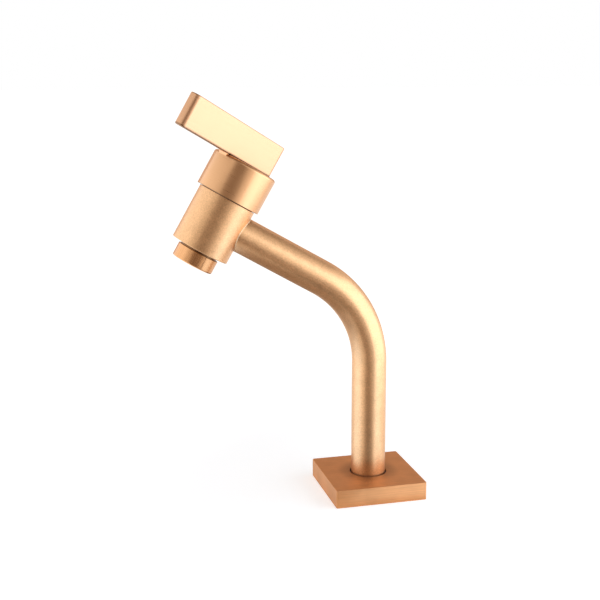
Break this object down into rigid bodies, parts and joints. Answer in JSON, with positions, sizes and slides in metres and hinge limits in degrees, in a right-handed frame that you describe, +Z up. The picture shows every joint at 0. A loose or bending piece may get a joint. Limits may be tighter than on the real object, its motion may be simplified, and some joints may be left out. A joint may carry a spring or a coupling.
{
  "type": "tall basin tap",
  "caption": "Tall deck-mounted basin tap: square plate, bent tube, tilted valve head with an aerator below and a quarter-turn blade lever on top.",
  "frame": {"origin": "on the column's axis, in the plane of the base plate's underside, which is the top of the deck", "axes": "+Z up along the column; -X the way the spout reaches, so the water falls on the -X side; Y across"},
  "size_m": [0.1555, 0.0634, 0.3081],
  "materials": {
    "satin_copper": "satin rose copper finish on brass",
    "polished_copper": "fine brushed rose copper finish on brass",
    "raw_brass": "bare machined brass",
    "stainless": "bare stainless steel",
    "black_rubber": "nitrile rubber",
    "black_nylon": "moulded nylon",
    "white_acetal": "moulded acetal",
    "alumina": "lapped white ceramic, opaque"
  },
  "bodies": {
    "tap": {"base_plate": "satin_copper", "plate_ring": "black_nylon", "foot_shank": "raw_brass", "deck_gasket": "black_rubber", "spout_tube": "satin_copper", "valve_body": "satin_copper", "cartridge_housing": "white_acetal", "cartridge_ring": "black_rubber", "seat_seal": "black_rubber", "fixed_disc": "alumina", "cartridge_nut": "raw_brass", "glide_ring": "black_nylon", "aerator_housing": "polished_copper", "aerator_gasket": "black_rubber", "aerator_screen": "stainless", "aerator_diffuser": "white_acetal", "aerator_grille": "black_nylon"},
    "handle": {"handle_cap": "polished_copper", "lever_blade": "polished_copper", "lever_screws": "stainless", "grub_screw": "stainless", "screw_plug": "polished_copper", "spindle": "raw_brass", "spindle_rings": "black_rubber", "spindle_clip": "stainless", "thrust_washer": "white_acetal", "moving_disc": "alumina"},
    "clamp": {"backnut": "raw_brass", "steel_washer": "stainless", "rubber_washer": "black_rubber"}
  },
  "joints": [
    {"name": "lever_turn", "type": "hinge", "parent": "tap", "child": "handle", "pos_m": [-0.09847, 0, 0.18065], "axis": [0.5, 0, 0.866], "range_deg": [-30, 60]},
    {"name": "backnut_run", "type": "slide", "parent": "tap", "child": "clamp", "axis": [0, 0, -1], "range_m": [-0.0094, 0.0144]}
  ]
}
